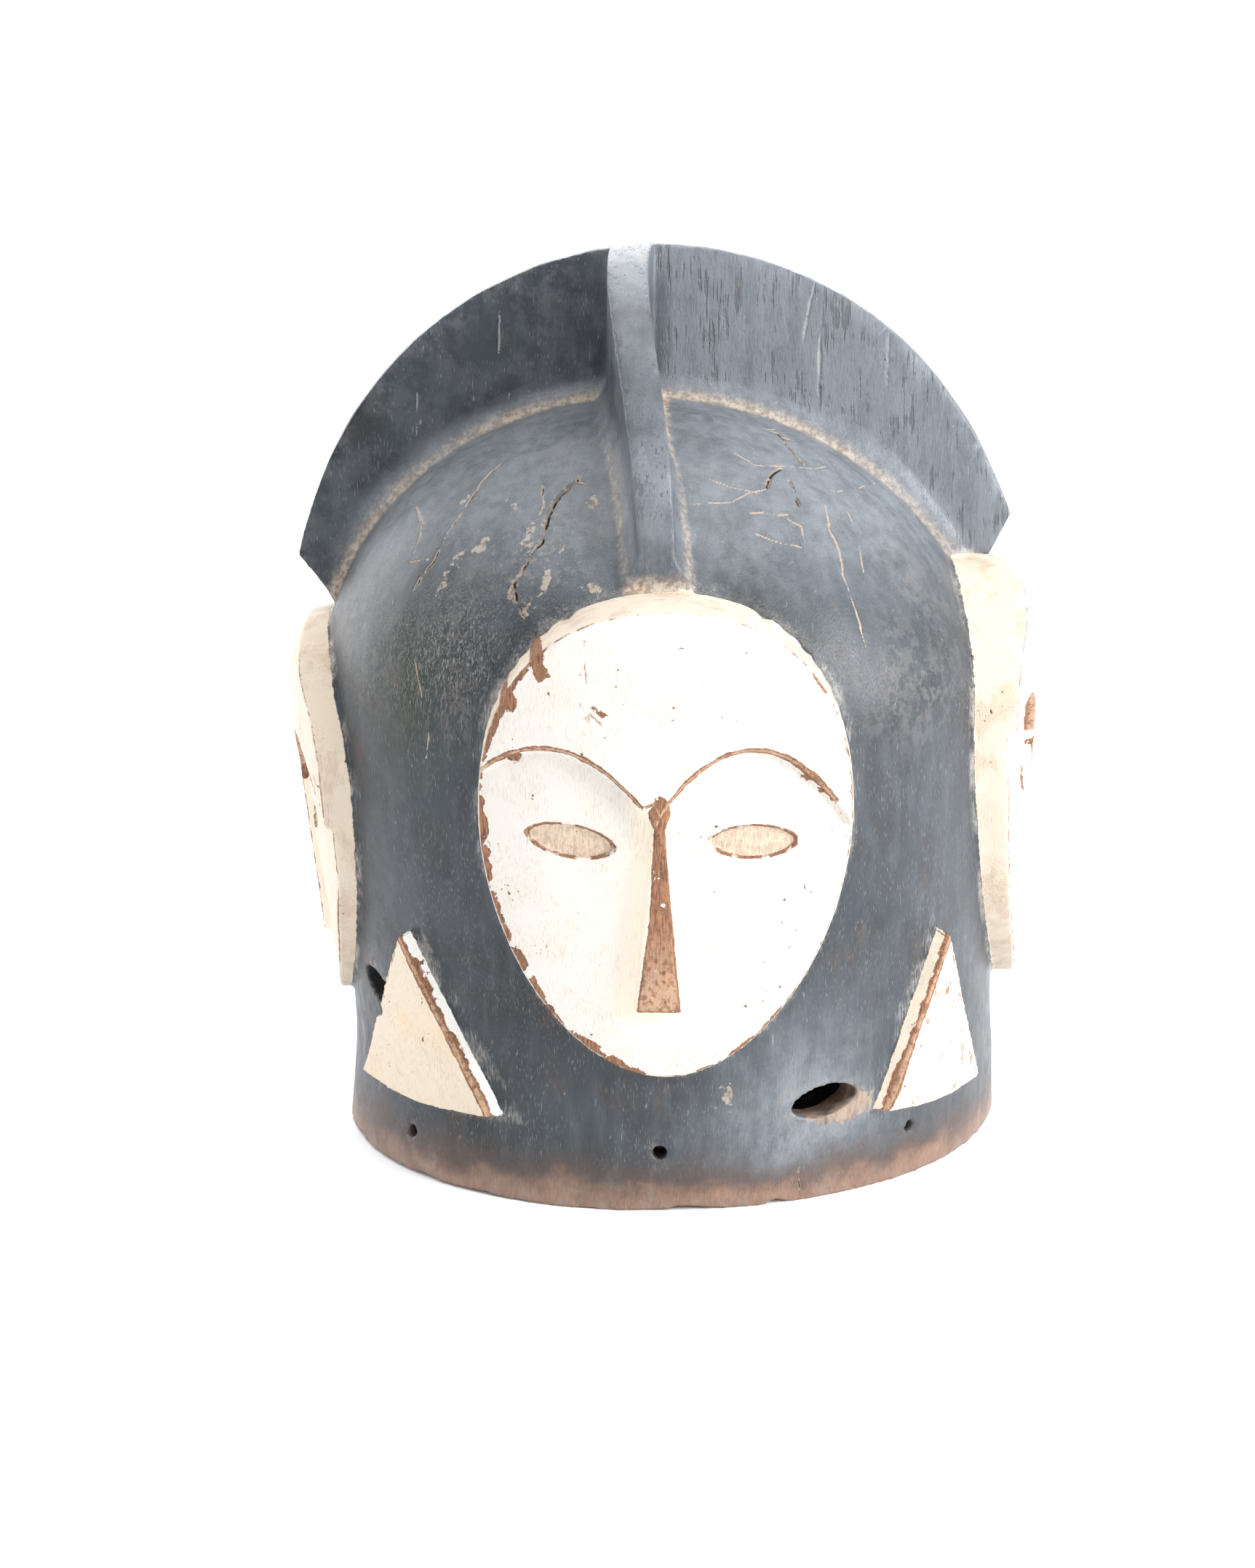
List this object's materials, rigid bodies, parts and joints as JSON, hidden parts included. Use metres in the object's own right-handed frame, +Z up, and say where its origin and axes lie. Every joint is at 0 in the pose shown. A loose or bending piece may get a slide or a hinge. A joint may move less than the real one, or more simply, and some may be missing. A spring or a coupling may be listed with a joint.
{
  "type": "multi-faced wooden helmet mask",
  "caption": "Hollow helmet mask carved from one block, with a low relief face on each side, raised triangles between them and crossed crests on its dome.",
  "frame": {"origin": "on the surface that the rim stands on, under the middle of the mask's box", "axes": "+Z up, -Y towards the front face, +X to the right of a viewer who faces it"},
  "size_m": [0.304, 0.303, 0.357],
  "materials": {
    "painted_wood": "worn blue-black patina with chalk white faces and bare brown wood on worn edges"
  },
  "bodies": {
    "root": {"carved_mask": "painted_wood"}
  },
  "joints": []
}
